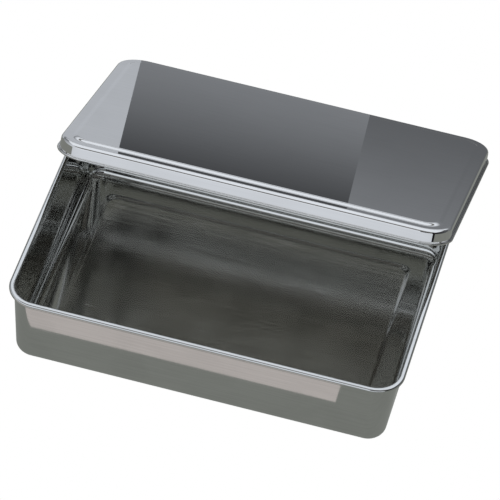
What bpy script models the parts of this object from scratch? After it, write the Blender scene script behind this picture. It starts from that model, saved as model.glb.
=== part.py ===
"""Rectangular steel instrument tray with a loose flat lid.

Two pressed sheet parts. The tray stands on its sunk floor panel, with the
origin at the middle of that panel's underside, +X along the tray and +Z up.
The lid is off: it leans back over the tray's rear rim, with its rear edge on
the surface that the tray stands on. Sizes are in metres.
"""

from math import atan2, cos, pi, radians, sin, tan

import bpy

SHEET = 0.0007              # thickness of both pressings
GAP = 0.0003                # air left between the two pieces where they touch
CORNER_STEPS = 8            # facets round each vertical corner

TRAY_LENGTH = 0.300         # over the rolled rim
TRAY_WIDTH = 0.228
TRAY_HEIGHT = 0.065
TRAY_CORNER = 0.0225        # plan radius of the rim's outside
TRAY_DRAFT = radians(4.5)   # lean of the walls
RIM_RADIUS = 0.0022         # outside radius of the rolled rim
RIM_END = radians(-110)     # how far round the roll goes, 0 being outermost
FLOOR_BEND = 0.0080         # outside radius between wall and floor
PANEL_DROP = 0.0008         # sunk floor panel below the floor's margin
PANEL_INSET = 0.0300        # middle of the panel's step, in from the rim
PANEL_STEP = 0.0045         # width of that step
PANEL_CORNER = 0.0070       # plan radius of the panel's corners

LID_LENGTH = 0.307          # over the turned edge
LID_WIDTH = 0.235
LID_CORNER = 0.0240
LID_DEPTH = 0.0117          # from the turned edge to the top of the border
LID_EDGE = 0.0012           # outside radius of the turned edge
LID_EDGE_END = radians(40)  # how far round the edge goes, 0 being outermost
LID_DRAFT = radians(2)
LID_SHOULDER = 0.0030       # outside radius between skirt and border
LID_RAISE = 0.0015          # raised middle panel above the border
LID_PANEL_INSET = 0.0115    # middle of the panel's step, in from the edge
LID_PANEL_STEP = 0.0035
LID_PANEL_CORNER = 0.0080
LID_LEAN = radians(23.7)    # rear edge down
LID_SIDE_SHIFT = 0.0008     # how far the lid sits towards +X


def arc(out, up, radius, start, end, steps):
    """Points on an arc; an angle of 0 points outward and 90 degrees up."""
    turns = [start + (end - start) * i / steps for i in range(steps + 1)]
    return [(out + radius * cos(a), up + radius * sin(a)) for a in turns]


def step(middle, width, inner_up, outer_up):
    """A flat lead-in, then the two bends of a step in the sheet."""
    return [(-middle - width, inner_up),
            (-middle - width / 2, inner_up),
            (-middle + width / 2, outer_up)]


def sheet_section(line):
    """Closed section of a sheet whose middle follows line, from its underside
    at the line's start, round its far edge, to its upper side at the start."""
    headings = [atan2(line[i + 1][1] - line[i][1], line[i + 1][0] - line[i][0])
                for i in range(len(line) - 1)]
    lower, upper = [], []
    for i, (out, up) in enumerate(line):
        before = headings[max(i - 1, 0)]
        after = headings[min(i, len(headings) - 1)]
        bend = (after - before + pi) % (2 * pi) - pi
        normal = before + bend / 2 + pi / 2
        reach = SHEET / 2 / cos(bend / 2)
        upper.append((out + reach * cos(normal), up + reach * sin(normal)))
        lower.append((out - reach * cos(normal), up - reach * sin(normal)))
    return lower + upper[::-1]


def ring(length, width, corner, least_corner, out, up):
    """A rounded rectangle, moved out from the full size and lifted to up."""
    radius = max(corner + out, least_corner)
    half_x, half_y = length / 2 + out, width / 2 + out
    points = []
    for quarter in range(4):
        side_x = 1 if quarter in (0, 3) else -1
        side_y = 1 if quarter in (0, 1) else -1
        for i in range(CORNER_STEPS + 1):
            a = pi / 2 * (quarter + i / CORNER_STEPS)
            points.append((side_x * (half_x - radius) + radius * cos(a),
                           side_y * (half_y - radius) + radius * sin(a), up))
    return points


def pressing(name, size, corners, section):
    """A pressed sheet: the section carried round the rounded rectangle, with
    a flat face across the middle on each side."""
    points = []
    for out, up in section:
        points += ring(*size, *corners, out, up)
    around = len(points) // len(section)
    faces = [list(range(around))[::-1]]
    for k in range(len(section) - 1):
        for i in range(around):
            j = (i + 1) % around
            a, b = k * around, (k + 1) * around
            faces.append([a + i, a + j, b + j, b + i])
    last = (len(section) - 1) * around
    faces.append(list(range(last, last + around)))
    mesh = bpy.data.meshes.new(name)
    mesh.from_pydata(points, [], faces)
    mesh.shade_smooth()
    mesh.set_sharp_from_angle(angle=radians(30))
    piece = bpy.data.objects.new(name, mesh)
    bpy.context.scene.collection.objects.link(piece)
    return piece


def steel(name, colour, roughness):
    material = bpy.data.materials.new(name)
    material.use_nodes = True
    shader = material.node_tree.nodes["Principled BSDF"]
    shader.inputs["Base Color"].default_value = (*colour, 1)
    shader.inputs["Metallic"].default_value = 1
    shader.inputs["Roughness"].default_value = roughness
    return material


def build_tray():
    floor = SHEET / 2
    margin = floor + PANEL_DROP
    roll = RIM_RADIUS - SHEET / 2
    roll_up = TRAY_HEIGHT - RIM_RADIUS
    wall_top = -RIM_RADIUS - roll * cos(TRAY_DRAFT)
    bend = FLOOR_BEND - SHEET / 2
    bend_up = margin + bend
    # The wall's line leans inward from the roll down to the floor bend.
    wall_foot_up = bend_up - bend * sin(TRAY_DRAFT)
    wall_top_up = roll_up + roll * sin(TRAY_DRAFT)
    wall_foot = wall_top - (wall_top_up - wall_foot_up) * tan(TRAY_DRAFT)
    bend_out = wall_foot - bend * cos(TRAY_DRAFT)
    line = step(PANEL_INSET, PANEL_STEP, floor, margin)
    line += arc(bend_out, bend_up, bend, radians(-90), -TRAY_DRAFT, 5)
    line += arc(-RIM_RADIUS, roll_up, roll, pi - TRAY_DRAFT, RIM_END, 10)
    tray = pressing("tray", (TRAY_LENGTH, TRAY_WIDTH),
                    (TRAY_CORNER, PANEL_CORNER), sheet_section(line))
    tray.data.materials.append(steel("satin_steel", (0.56, 0.56, 0.54), 0.25))
    return tray


def build_lid():
    edge = LID_EDGE - SHEET / 2
    border = LID_DEPTH - SHEET / 2
    raised = border + LID_RAISE
    bend = LID_SHOULDER - SHEET / 2
    # The skirt's line leans inward from the turned edge up to the shoulder.
    skirt_foot = -LID_EDGE - edge * cos(LID_DRAFT)
    skirt_foot_up = LID_EDGE - edge * sin(LID_DRAFT)
    skirt_top_up = border - bend + bend * sin(LID_DRAFT)
    skirt_top = skirt_foot - (skirt_top_up - skirt_foot_up) * tan(LID_DRAFT)
    bend_out = skirt_top - bend * cos(LID_DRAFT)
    line = step(LID_PANEL_INSET, LID_PANEL_STEP, raised, border)
    line += arc(bend_out, border - bend, bend, pi / 2, LID_DRAFT, 4)
    line += arc(-LID_EDGE, LID_EDGE, edge, LID_DRAFT - pi, LID_EDGE_END, 8)
    lid = pressing("lid", (LID_LENGTH, LID_WIDTH),
                   (LID_CORNER, LID_PANEL_CORNER), sheet_section(line))
    lid.data.materials.append(steel("polished_steel", (0.63, 0.63, 0.62), 0.08))
    return lid


def lean_lid(lid):
    """Set the lid down: its rear edge on the table and its raised panel's
    underside on the rear rim, one gap above it."""
    rear_edge = LID_WIDTH / 2 - LID_EDGE
    # Height of the lid's own origin, with the round rear edge touching z = 0.
    up = LID_EDGE + sin(LID_LEAN) * rear_edge - cos(LID_LEAN) * LID_EDGE
    # The underside is a sloping plane that passes over the round rear rim.
    underside = LID_DEPTH + LID_RAISE - SHEET
    rim_back = TRAY_WIDTH / 2 - RIM_RADIUS
    rim_up = TRAY_HEIGHT - RIM_RADIUS
    clear = RIM_RADIUS + GAP
    along = (rim_up - up) * cos(LID_LEAN) + clear - underside
    back = rim_back + along / sin(LID_LEAN)
    lid.location = (LID_SIDE_SHIFT, back, up)
    lid.rotation_euler = (-LID_LEAN, 0, 0)


for old in list(bpy.data.objects):
    bpy.data.objects.remove(old)
build_tray()
lean_lid(build_lid())
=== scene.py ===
from math import atan, cos, hypot, pi, radians, sin, tan

import bpy
from mathutils import Matrix, Vector


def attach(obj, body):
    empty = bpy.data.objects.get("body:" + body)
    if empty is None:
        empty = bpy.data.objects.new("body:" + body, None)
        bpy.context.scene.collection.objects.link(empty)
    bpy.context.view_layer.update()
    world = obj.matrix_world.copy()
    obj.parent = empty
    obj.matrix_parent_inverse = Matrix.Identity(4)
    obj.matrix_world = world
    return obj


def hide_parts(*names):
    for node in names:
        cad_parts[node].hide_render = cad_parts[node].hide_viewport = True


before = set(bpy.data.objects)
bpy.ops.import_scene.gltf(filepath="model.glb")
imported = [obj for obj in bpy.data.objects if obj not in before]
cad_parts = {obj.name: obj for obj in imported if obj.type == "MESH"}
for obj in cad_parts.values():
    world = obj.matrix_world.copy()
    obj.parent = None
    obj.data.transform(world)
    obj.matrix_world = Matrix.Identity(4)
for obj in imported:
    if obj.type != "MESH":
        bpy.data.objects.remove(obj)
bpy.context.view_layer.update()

# ---------------------------------------------------------------------------
# Tray: one deep-drawn pressing of 0.7 mm stainless sheet. The rim is rolled
# outward and closed under itself, and the floor carries a shallow sunk panel
# that was brushed lengthwise; the walls keep the bright finish of the press.
# ---------------------------------------------------------------------------
SHEET = 0.0007
TRAY_LENGTH, TRAY_WIDTH, TRAY_HEIGHT = 0.300, 0.228, 0.065
TRAY_CORNER = 0.0225
TRAY_DRAFT = radians(4.5)
RIM_RADIUS = 0.0022
RIM_END = radians(-110)
FLOOR_BEND = 0.0080
PANEL_DROP, PANEL_INSET, PANEL_STEP, PANEL_CORNER = 0.0008, 0.0300, 0.0045, 0.0070


def bend(out, up, radius, start, end, steps):
    """Points of a round bend: out, up and the heading of the sheet there."""
    turn = pi / 2 if end > start else -pi / 2
    angles = [start + (end - start) * i / steps for i in range(steps + 1)]
    return [(out + radius * cos(a), up + radius * sin(a), a + turn) for a in angles]


def pressed_step(middle, width, inner_up, outer_up, steps):
    """A shallow step in a flat sheet, drawn as one soft S."""
    rise = outer_up - inner_up
    points = []
    for i in range(steps + 1):
        t = i / steps
        up = inner_up + rise * t * t * (3 - 2 * t)
        points.append((-middle - width / 2 + width * t, up,
                       atan(6 * t * (1 - t) * rise / width)))
    return points


def rounded_ring(size, corners, out, steps=20, side_steps=6):
    """A rounded rectangle moved out from the full size: for each point its
    place, its outward direction and how far the corner eases a slope."""
    corner, least = corners
    radius = max(corner + out, least)
    eased = corner + out < least
    half_x, half_y = size[0] / 2 + out - radius, size[1] / 2 + out - radius
    points = []
    for quarter in range(4):
        side_x = 1 if quarter in (0, 3) else -1
        side_y = 1 if quarter in (0, 1) else -1
        for i in range(steps + 1):
            a = pi / 2 * (quarter + i / steps)
            ease = abs(cos(a)) + abs(sin(a)) if eased else 1
            points.append((side_x * half_x + radius * cos(a),
                           side_y * half_y + radius * sin(a),
                           cos(a), sin(a), 1 / ease))
        a = pi / 2 * (quarter + 1)
        run = 2 * (half_x if quarter in (0, 2) else half_y)
        for i in range(1, side_steps):
            points.append((points[-1][0] - sin(a) * run / side_steps,
                           points[-1][1] + cos(a) * run / side_steps,
                           cos(a), sin(a), 1))
    return points


def pressing(name, size, corners, line, finish_of):
    """Both faces of a pressed sheet with exact shading normals. finish_of
    says which of the piece's materials a stretch of the sheet takes."""
    rings = [rounded_ring(size, corners, out) for out, _, _ in line]
    around = len(rings[0])
    # The sheet laid flat again, in metres, which the grain textures follow.
    laid_out, flat = line[0][0], []
    for k, (out, up, _) in enumerate(line):
        if k:
            laid_out += hypot(out - line[k - 1][0], up - line[k - 1][1])
        flat += [(x, y) for x, y, _, _, _ in rounded_ring(size, corners, laid_out)]
    flat += flat
    points, normals = [], []
    for side in (1, -1):
        for (out, up, way), ring in zip(line, rings):
            lean, rise = -sin(way), cos(way)
            shifted = rounded_ring(size, corners, out + side * lean * SHEET / 2)
            for x, y, dx, dy, ease in shifted:
                points.append((x, y, up + side * rise * SHEET / 2))
                normal = Vector((dx * lean * ease, dy * lean * ease, rise))
                normals.append(side * normal.normalized())
    faces, corner_normals, finishes = [], [], []
    count = len(line) * around
    for side in (1, -1):
        base = 0 if side == 1 else count
        middle = [base + i for i in range(around)][::side]
        faces.append(middle)
        corner_normals += [Vector((0, 0, side))] * around
        finishes.append(finish_of(0, side))
        for k in range(len(line) - 1):
            for i in range(around):
                j = (i + 1) % around
                a, b = base + k * around, base + (k + 1) * around
                face = [a + i, b + i, b + j, a + j][::side]
                faces.append(face)
                corner_normals += [normals[v] for v in face]
                finishes.append(finish_of(k + 1, side))
    last = (len(line) - 1) * around
    way = line[-1][2]
    for i in range(around):
        j = (i + 1) % around
        faces.append([last + i, count + last + i, count + last + j, last + j])
        for v in (i, i, j, j):
            _, _, dx, dy, _ = rings[-1][v]
            corner_normals.append(Vector((dx * cos(way), dy * cos(way), sin(way))))
        finishes.append(finish_of(len(line), 1))
    mesh = bpy.data.meshes.new(name)
    mesh.from_pydata(points, [], faces)
    mesh.shade_smooth()
    mesh.normals_split_custom_set(corner_normals)
    mesh.polygons.foreach_set("material_index", finishes)
    sheet = mesh.uv_layers.new(name="sheet")
    for loop, place in zip(mesh.loops, sheet.data):
        place.uv = flat[loop.vertex_index]
    piece = bpy.data.objects.new(name, mesh)
    bpy.context.scene.collection.objects.link(piece)
    return piece


def wire(tree, source, target):
    tree.links.new(source, target)


def add(tree, kind, **values):
    """A node with its properties and plain input values set by name."""
    node = tree.nodes.new(kind)
    for key, value in values.items():
        if hasattr(node, key):
            setattr(node, key, value)
        else:
            node.inputs[key.replace("_", " ")].default_value = value
    return node


def tray_line():
    """The tray's section from the floor panel out and up to the rolled rim."""
    floor = SHEET / 2
    margin = floor + PANEL_DROP
    roll = RIM_RADIUS - SHEET / 2
    roll_up = TRAY_HEIGHT - RIM_RADIUS
    wall_top = -RIM_RADIUS - roll * cos(TRAY_DRAFT)
    radius = FLOOR_BEND - SHEET / 2
    bend_up = margin + radius
    wall_foot_up = bend_up - radius * sin(TRAY_DRAFT)
    wall_top_up = roll_up + roll * sin(TRAY_DRAFT)
    wall_foot = wall_top - (wall_top_up - wall_foot_up) * tan(TRAY_DRAFT)
    bend_out = wall_foot - radius * cos(TRAY_DRAFT)
    line = pressed_step(PANEL_INSET, PANEL_STEP, floor, margin, 12)
    line += bend(bend_out, bend_up, radius, -pi / 2, -TRAY_DRAFT, 16)
    foot, top = line[-1], (wall_top, wall_top_up, pi / 2 - TRAY_DRAFT)
    wall_parts = 6
    for i in range(1, wall_parts):
        t = i / wall_parts
        line.append((foot[0] + (top[0] - foot[0]) * t, foot[1] + (top[1] - foot[1]) * t, top[2]))
    line += bend(-RIM_RADIUS, roll_up, roll, pi - TRAY_DRAFT, RIM_END, 28)
    return line


def group(name, inputs, outputs):
    """An empty shader group with named number and vector sockets."""
    tree = bpy.data.node_groups.new(name, "ShaderNodeTree")
    for socket, kind, value in inputs:
        made = tree.interface.new_socket(name=socket, in_out="INPUT",
                                         socket_type="NodeSocket" + kind)
        if value is not None:
            made.default_value = value
    for socket, kind in outputs:
        tree.interface.new_socket(name=socket, in_out="OUTPUT",
                                  socket_type="NodeSocket" + kind)
    return tree, tree.nodes.new("NodeGroupInput"), tree.nodes.new("NodeGroupOutput")


def spread(tree, value, low, high, to_low=0.0, to_high=1.0):
    """Maps a value's useful span onto another, softly and without overrun."""
    node = add(tree, "ShaderNodeMapRange", interpolation_type="SMOOTHSTEP")
    for key, number in (("From Min", low), ("From Max", high), ("To Min", to_low), ("To Max", to_high)):
        node.inputs[key].default_value = number
    wire(tree, value, node.inputs["Value"])
    return node.outputs["Result"]


def sum_of(tree, first, second, kind="ADD"):
    """One sum of two values, each a number or another node's output."""
    node = add(tree, "ShaderNodeMath", operation=kind)
    for socket, value in zip(node.inputs, (first, second)):
        if isinstance(value, (int, float)):
            socket.default_value = value
        else:
            wire(tree, value, socket)
    return node.outputs[0]


# Grain: the fine lines that rolling and brushing leave, drawn out one way.
grain, grain_in, grain_out = group(
    "drawn_grain", [("Sheet", "Vector", None), ("Along", "Float", 8.0), ("Across", "Float", 900.0)],
    [("Line", "Float")])
stretch = add(grain, "ShaderNodeCombineXYZ")
wire(grain, grain_in.outputs["Along"], stretch.inputs["X"])
wire(grain, grain_in.outputs["Across"], stretch.inputs["Y"])
drawn = add(grain, "ShaderNodeVectorMath", operation="MULTIPLY")
wire(grain, grain_in.outputs["Sheet"], drawn.inputs[0])
wire(grain, stretch.outputs[0], drawn.inputs[1])
lines = add(grain, "ShaderNodeTexNoise", Scale=1.0, Detail=3.0, Roughness=0.6)
wire(grain, drawn.outputs[0], lines.inputs["Vector"])
wire(grain, spread(grain, lines.outputs["Fac"], 0.25, 0.75), grain_out.inputs["Line"])

# Handling: cloudy smears from wiping and a few hair scratches.
handling, handling_in, handling_out = group(
    "handling_marks", [("Sheet", "Vector", None), ("Cloud Size", "Float", 22.0)],
    [("Smear", "Float"), ("Scratch", "Float")])
cloud = add(handling, "ShaderNodeTexNoise", Detail=4.0, Roughness=0.55, Distortion=0.6)
wire(handling, handling_in.outputs["Sheet"], cloud.inputs["Vector"])
wire(handling, handling_in.outputs["Cloud Size"], cloud.inputs["Scale"])
wire(handling, spread(handling, cloud.outputs["Fac"], 0.35, 0.7), handling_out.inputs["Smear"])
slanted = add(handling, "ShaderNodeMapping")
slanted.inputs["Rotation"].default_value = (0, 0, radians(24))
slanted.inputs["Scale"].default_value = (30, 1700, 1)
wire(handling, handling_in.outputs["Sheet"], slanted.inputs["Vector"])
hairs = add(handling, "ShaderNodeTexNoise", Scale=1.0, Detail=2.0)
wire(handling, slanted.outputs[0], hairs.inputs["Vector"])
wire(handling, spread(handling, hairs.outputs["Fac"], 0.70, 0.78), handling_out.inputs["Scratch"])

# Wave: how far the pressed sheet is from truly flat, as a height.
wave, wave_in, wave_out = group(
    "sheet_wave", [("Sheet", "Vector", None), ("Waves", "Float", 9.0)], [("Height", "Float")])
swell = add(wave, "ShaderNodeTexNoise", Detail=1.0, Roughness=0.3)
wire(wave, wave_in.outputs["Sheet"], swell.inputs["Vector"])
wire(wave, wave_in.outputs["Waves"], swell.inputs["Scale"])
wire(wave, swell.outputs["Fac"], wave_out.inputs["Height"])


def placed(tree, source, where, **values):
    """Sets a shared group into a material, fed with the laid-out sheet."""
    node = tree.nodes.new("ShaderNodeGroup")
    node.node_tree = source
    wire(tree, where, node.inputs["Sheet"])
    for key, value in values.items():
        node.inputs[key.replace("_", " ")].default_value = value
    return node.outputs


def steel(name, colour, dull_colour, rough, rough_smeared, along, across,
          line_depth, wave_depth, waves, cloud):
    """Stainless steel: its colour and gloss vary with the grain, the smears
    and the scratches, and its flats are never quite flat."""
    material = bpy.data.materials.new(name)
    material.use_nodes = True
    tree = material.node_tree
    shader = tree.nodes["Principled BSDF"]
    shader.inputs["Metallic"].default_value = 1.0
    where = add(tree, "ShaderNodeUVMap", uv_map="sheet").outputs["UV"]
    line = placed(tree, grain, where, Along=along, Across=across)["Line"]
    marks = placed(tree, handling, where, Cloud_Size=cloud)
    swelling = placed(tree, wave, where, Waves=waves)["Height"]
    tint = add(tree, "ShaderNodeMix", data_type="RGBA")
    tint.inputs["A"].default_value = (*colour, 1)
    tint.inputs["B"].default_value = (*dull_colour, 1)
    wire(tree, sum_of(tree, sum_of(tree, line, 0.6, "MULTIPLY"),
                      sum_of(tree, marks["Smear"], 0.4, "MULTIPLY")), tint.inputs["Factor"])
    wire(tree, tint.outputs["Result"], shader.inputs["Base Color"])
    gloss = spread(tree, sum_of(tree, marks["Smear"], marks["Scratch"]), 0.0, 1.4, rough, rough_smeared)
    wire(tree, gloss, shader.inputs["Roughness"])
    fine = add(tree, "ShaderNodeBump", Distance=line_depth)
    fine.inputs["Strength"].default_value = 1.0
    wire(tree, sum_of(tree, line, marks["Scratch"], "SUBTRACT"), fine.inputs["Height"])
    broad = add(tree, "ShaderNodeBump", Distance=wave_depth)
    broad.inputs["Strength"].default_value = 1.0
    wire(tree, swelling, broad.inputs["Height"])
    wire(tree, broad.outputs["Normal"], fine.inputs["Normal"])
    wire(tree, fine.outputs["Normal"], shader.inputs["Normal"])
    return material


bright_wall = steel("bright_drawn_steel", (0.655, 0.66, 0.645), (0.575, 0.58, 0.565), 0.06, 0.10,
                    along=14, across=700, line_depth=0.0000001, wave_depth=0.00008, waves=9, cloud=22)
brushed_floor = steel("brushed_floor_steel", (0.74, 0.735, 0.705), (0.46, 0.455, 0.425), 0.09, 0.13,
                      along=20, across=340, line_depth=0.000018, wave_depth=0.00015, waves=12, cloud=26)

BRUSHED_PARTS = 4   # the floor panel and the first parts of its step, on top only
tray = pressing("tray_pressing", (TRAY_LENGTH, TRAY_WIDTH), (TRAY_CORNER, PANEL_CORNER),
                tray_line(), lambda k, side: 1 if side == 1 and k < BRUSHED_PARTS else 0)
tray.data.materials.append(bright_wall)
tray.data.materials.append(brushed_floor)
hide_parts("tray")
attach(tray, "tray")

# ---------------------------------------------------------------------------
# Lid: a shallow cover pressed from the same sheet, polished bright, with a
# low raised panel in the middle and an open turned edge all round. It is off
# and leans back over the tray's rear rim, its own rear edge on the table.
# ---------------------------------------------------------------------------
LID_LENGTH, LID_WIDTH, LID_DEPTH = 0.307, 0.235, 0.0117
LID_CORNER = 0.0240
LID_EDGE, LID_EDGE_END = 0.0012, radians(40)
LID_DRAFT = radians(2)
LID_SHOULDER = 0.0030
LID_RAISE, LID_PANEL_INSET, LID_PANEL_STEP, LID_PANEL_CORNER = 0.0015, 0.0115, 0.0035, 0.0080
LID_STEP_SHIFT, LID_STEP_SPREAD = 0.0004, 0.0018   # what its soft bends add to the step
LID_LEAN = radians(23.7)
LID_SIDE_SHIFT = 0.0008
LID_GAP = 0.0003


def lid_line():
    """The lid's section from the raised panel out and down to the turned edge."""
    edge = LID_EDGE - SHEET / 2
    border = LID_DEPTH - SHEET / 2
    radius = LID_SHOULDER - SHEET / 2
    skirt_foot = -LID_EDGE - edge * cos(LID_DRAFT)
    skirt_foot_up = LID_EDGE - edge * sin(LID_DRAFT)
    skirt_top_up = border - radius + radius * sin(LID_DRAFT)
    skirt_top = skirt_foot - (skirt_top_up - skirt_foot_up) * tan(LID_DRAFT)
    bend_out = skirt_top - radius * cos(LID_DRAFT)
    line = pressed_step(LID_PANEL_INSET + LID_STEP_SHIFT, LID_PANEL_STEP + LID_STEP_SPREAD,
                        border + LID_RAISE, border, 16)
    line += bend(bend_out, border - radius, radius, pi / 2, LID_DRAFT, 16)
    line += bend(-LID_EDGE, LID_EDGE, edge, LID_DRAFT - pi, LID_EDGE_END, 16)
    return line


def lid_place():
    """Where the lid's own origin comes to lie: its rear edge is on the table
    and the underside of its raised panel passes one gap over the rear rim."""
    rear_edge = LID_WIDTH / 2 - LID_EDGE
    up = LID_EDGE + sin(LID_LEAN) * rear_edge - cos(LID_LEAN) * LID_EDGE
    underside = LID_DEPTH + LID_RAISE - SHEET
    rim_back, rim_up = TRAY_WIDTH / 2 - RIM_RADIUS, TRAY_HEIGHT - RIM_RADIUS
    along = (rim_up - up) * cos(LID_LEAN) + RIM_RADIUS + LID_GAP - underside
    return Vector((LID_SIDE_SHIFT, rim_back + along / sin(LID_LEAN), up))


mirror_lid = steel("polished_lid_steel", (0.72, 0.715, 0.70), (0.66, 0.655, 0.64), 0.02, 0.06,
                   along=10, across=800, line_depth=0.0000002, wave_depth=0.00004, waves=7, cloud=16)
lid = pressing("lid_pressing", (LID_LENGTH, LID_WIDTH), (LID_CORNER, LID_PANEL_CORNER),
               lid_line(), lambda k, side: 0)
lid.data.materials.append(mirror_lid)
lid.data.transform(Matrix.Translation(lid_place()) @ Matrix.Rotation(-LID_LEAN, 4, "X"))
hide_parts("lid")
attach(lid, "lid")

# ---------------------------------------------------------------------------
# Camera: a long lens, well back and a little to the right, looking down on
# the open tray.
# ---------------------------------------------------------------------------
YAW, PITCH, ROLL = -0.16648, 0.77037, 0.12334   # turned, tipped down, rolled, in radians
AIM = Vector((0.00386, 0.03254, 0.0300))
AWAY = 3.2516
FOCAL_LENGTH, FILM_WIDTH = 309.08, 36           # in millimetres
ahead = Vector((sin(YAW) * cos(PITCH), cos(YAW) * cos(PITCH), -sin(PITCH)))
level = Vector((cos(YAW), -sin(YAW), 0))
upright = level.cross(ahead)
side = cos(ROLL) * level + sin(ROLL) * upright
top = cos(ROLL) * upright - sin(ROLL) * level
lens = bpy.data.cameras.new("camera")
lens.sensor_width = FILM_WIDTH
lens.lens = FOCAL_LENGTH
lens.clip_end = 50
camera = bpy.data.objects.new("camera", lens)
camera.matrix_world = Matrix.Translation(AIM - ahead * AWAY) @ Matrix(
    (side, top, -ahead)).transposed().to_4x4()
bpy.context.scene.collection.objects.link(camera)
bpy.context.scene.camera = camera

# ---------------------------------------------------------------------------
# Studio: a white floor and background for the camera, and plain soft light for
# the steel: a grey table, a white overhead light, pale walls, and a few plain
# boards. They glow, and only the steel sees them.
# ---------------------------------------------------------------------------
WHITE, BRIGHT, PALE, GREY, DIM, DARK, BLACK = 1.1, 0.85, 0.6, 0.27, 0.15, 0.04, 0.01
DAYLIGHT, PLAIN, WARM, GREENISH = (0.93, 0.98, 1.07), (1, 1, 1), (1.06, 0.98, 0.96), (0.97, 1.01, 0.95)


def board(name, corners, near, far=None, tint=PLAIN, camera_sees=False, steps=10):
    """A plain glowing board through four corners. Its light is even, or runs
    softly from near, along its first edge, to far, along the edge opposite."""
    corners = [Vector(c) for c in corners]
    far = near if far is None else far
    points, shades = [], []
    for j in range(steps + 1):
        v = j / steps
        light = near + (far - near) * v * v * (3 - 2 * v)
        for edge in (0, 1):
            start, end = corners[edge], corners[3 - edge]
            points.append(start + (end - start) * v)
            shades += [light * part for part in tint] + [1]
    faces = [[2 * j, 2 * j + 1, 2 * j + 3, 2 * j + 2] for j in range(steps)]
    mesh = bpy.data.meshes.new(name)
    mesh.from_pydata(points, [], faces)
    mesh.color_attributes.new("light", "FLOAT_COLOR", "POINT").data.foreach_set("color", shades)
    sheet = bpy.data.objects.new(name, mesh)
    bpy.context.scene.collection.objects.link(sheet)
    paint = bpy.data.materials.new(name)
    paint.use_nodes = True
    tree = paint.node_tree
    tree.nodes.clear()
    glow = add(tree, "ShaderNodeEmission")
    wire(tree, add(tree, "ShaderNodeVertexColor", layer_name="light").outputs["Color"],
         glow.inputs["Color"])
    end = add(tree, "ShaderNodeOutputMaterial")
    wire(tree, glow.outputs[0], end.inputs["Surface"])
    mesh.materials.append(paint)
    sheet.visible_camera = camera_sees
    sheet.visible_glossy = not camera_sees
    sheet.visible_shadow = False
    sheet.visible_diffuse = False


def flat(left, right, front, back, height):
    """Corners of a level board, front edge first."""
    return [(left, front, height), (right, front, height), (right, back, height), (left, back, height)]


def upright(left, right, depth, foot, top):
    """Corners of a board standing across the set, lower edge first."""
    return [(left, depth, foot), (right, depth, foot), (right, depth, top), (left, depth, top)]


FAR = 4.0
ROOM_LEFT, ROOM_RIGHT, ROOM_FRONT, ROOM_BACK, ROOM_TOP = -1.6, 1.7, -1.5, 2.2, 1.2
board("floor", flat(-FAR, FAR, -FAR, FAR, 0), 1.0, camera_sees=True)
# The table that the steel mirrors is grey. Between the tray and the pale patch below, that grey is
# painted shadow of the tray.
board("table", flat(-FAR, FAR, -FAR, FAR, 0.0002), GREY, tint=GREENISH)
board("overhead_light", flat(ROOM_LEFT, ROOM_RIGHT, -0.45, 1.7, ROOM_TOP), WHITE, tint=DAYLIGHT)
board("front_wall", upright(ROOM_LEFT, ROOM_RIGHT, ROOM_FRONT, 0, ROOM_TOP), BRIGHT, WHITE, DAYLIGHT)
board("back_wall", upright(ROOM_LEFT, ROOM_RIGHT, ROOM_BACK, 0, ROOM_TOP), DARK, WHITE, DAYLIGHT)
board("left_wall", [(ROOM_LEFT, ROOM_FRONT, 0), (ROOM_LEFT, ROOM_FRONT, ROOM_TOP),
                    (ROOM_LEFT, ROOM_BACK, ROOM_TOP), (ROOM_LEFT, ROOM_BACK, 0)], BRIGHT, DIM, DAYLIGHT)
board("right_wall", [(ROOM_RIGHT, ROOM_FRONT, 0), (ROOM_RIGHT, ROOM_FRONT, ROOM_TOP),
                     (ROOM_RIGHT, ROOM_BACK, ROOM_TOP), (ROOM_RIGHT, ROOM_BACK, 0)], BLACK, DIM, DAYLIGHT)

# Beside the camera a dark board, which gives the polished edges their black lines, and before the tray a
# pale warm patch
# glowing on the table: painted light, with the grey table left between it and the tray as the tray's
# painted shadow.
board("dark_board", upright(0.1, ROOM_RIGHT, ROOM_FRONT + 0.1, 0.6, ROOM_TOP), BLACK)
board("painted_lit_table", flat(-0.30, 0.10, -0.20, -TRAY_WIDTH / 2 - 0.020, 0.001), PALE, tint=WARM)

# Three boards stand side by side behind the lid, whose top mirrors them: pale,
# dark and grey, so that the flat panel shows some tone from end to end.
LID_BACK, BOARD_TOP = 0.26, 0.12
board("pale_rear_board", upright(-0.45, -0.14, LID_BACK, 0, BOARD_TOP), PALE, PALE, DAYLIGHT)
board("dark_rear_board", upright(-0.14, 0.05, LID_BACK, 0, BOARD_TOP), GREY, DARK, DAYLIGHT)
board("grey_rear_board", upright(0.05, 0.45, LID_BACK, 0, BOARD_TOP), DIM, GREY, DAYLIGHT)

world = bpy.data.worlds.new("surround")
bpy.context.scene.world = world
world.use_nodes = True
world.node_tree.nodes["Background"].inputs["Color"].default_value = (0.24, 0.24, 0.24, 1)
world.node_tree.nodes["Background"].inputs["Strength"].default_value = 1.0
bpy.context.scene.view_settings.view_transform = "Standard"
bpy.context.scene.cycles.glossy_bounces = 8   # the steel mirrors itself inside the tray

bpy.context.view_layer.update()
